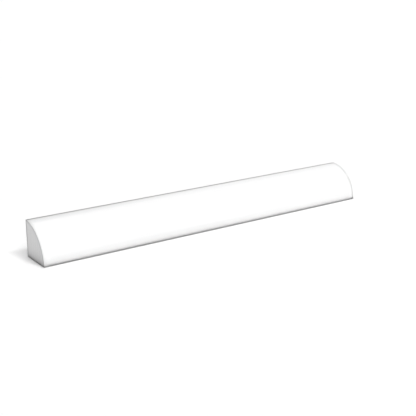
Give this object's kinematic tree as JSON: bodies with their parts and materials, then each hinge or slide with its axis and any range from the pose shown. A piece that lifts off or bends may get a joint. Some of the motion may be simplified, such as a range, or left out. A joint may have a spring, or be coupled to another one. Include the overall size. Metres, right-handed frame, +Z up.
{
  "type": "quarter round moulding",
  "caption": "Straight quarter round moulding with a flat back, a flat base and a convex round face, for covering the inside corner between a wall and a floor.",
  "frame": {"origin": "middle of the flat base, on the surface that the moulding rests on", "axes": "+X along the length, +Y out of the flat back towards the wall, +Z up, so the round faces -Y and +Z"},
  "size_m": [0.2032, 0.019, 0.019],
  "materials": {
    "white_pvc": "satin"
  },
  "bodies": {
    "root": {"quarter_round_moulding": "white_pvc"}
  },
  "joints": []
}
